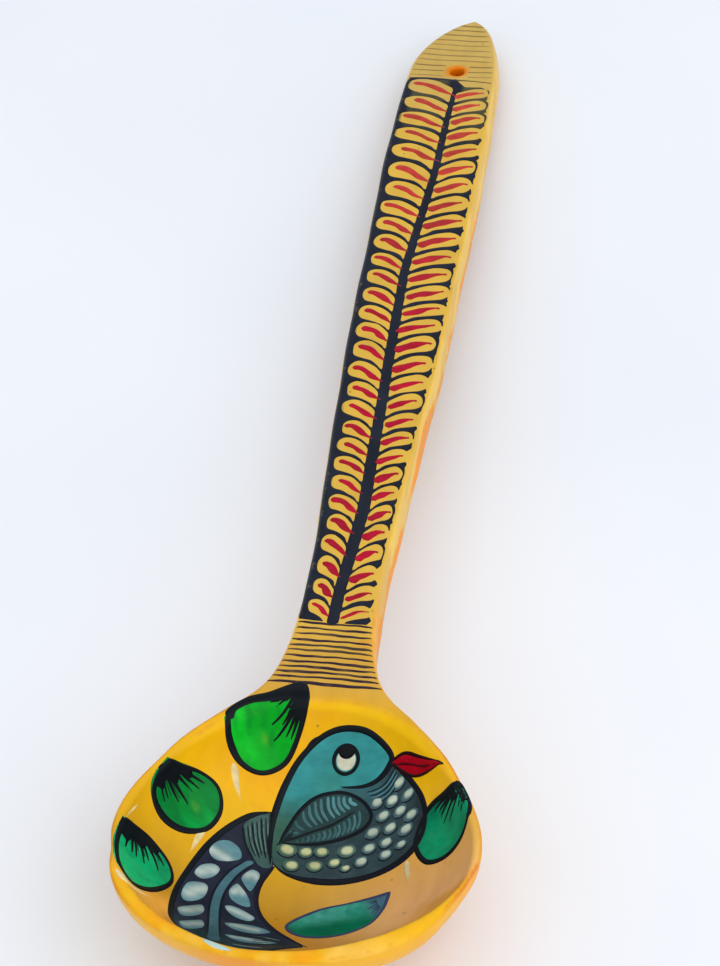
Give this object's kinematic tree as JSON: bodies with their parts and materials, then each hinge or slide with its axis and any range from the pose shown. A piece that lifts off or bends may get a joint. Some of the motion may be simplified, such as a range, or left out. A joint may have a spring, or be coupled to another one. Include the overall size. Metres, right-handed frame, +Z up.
{
  "type": "painted wooden serving spoon",
  "caption": "Round-bowled wooden serving spoon with a wide flat handle, hanging hole, and brushed leaf-and-bird paint decoration on glossy ochre lacquer.",
  "frame": {"origin": "bottom centre of the bounding box, on the table the spoon lies on", "axes": "+Y along the handle from the bowl to the tip, +Z up out of the bowl, +X to the right when looking from the bowl to the tip"},
  "size_m": [0.076, 0.341, 0.029],
  "materials": {
    "lacquered_wood": "one carved piece of wood under glossy yellow-ochre lacquer, orange in the edges",
    "navy_paint": "brushed navy enamel, satin gloss",
    "crimson_paint": "brushed crimson enamel, satin gloss",
    "brown_line_paint": "thin brushed umber lines, satin",
    "plum_line_paint": "thin brushed plum-black lines, satin",
    "green_paint": "brushed green enamel, glossy",
    "black_line_paint": "brushed black line-work, glossy",
    "teal_paint": "brushed teal enamel, glossy",
    "dark_teal_paint": "brushed dark teal enamel, glossy",
    "pale_teal_paint": "dabbed pale teal enamel, glossy",
    "cream_paint": "dabbed cream enamel, glossy",
    "red_paint": "brushed red enamel, glossy"
  },
  "bodies": {
    "root": {"spoon_body": "lacquered_wood", "handle_leaf_panel": "navy_paint", "handle_leaf_strokes": "crimson_paint", "tip_bands": "brown_line_paint", "neck_bands": "plum_line_paint", "leaf_coats": "green_paint", "leaf_linework": "black_line_paint", "bird_tail_coat": "dark_teal_paint", "bird_breast_coat": "dark_teal_paint", "bird_wing_coat": "dark_teal_paint", "bird_head_coat": "teal_paint", "tail_marks": "pale_teal_paint", "bird_scale_marks": "cream_paint", "bird_linework": "black_line_paint", "bird_beak": "red_paint", "bird_eye_white": "cream_paint", "bird_eye_pupil": "black_line_paint", "highlight_strokes": "cream_paint"}
  },
  "joints": []
}
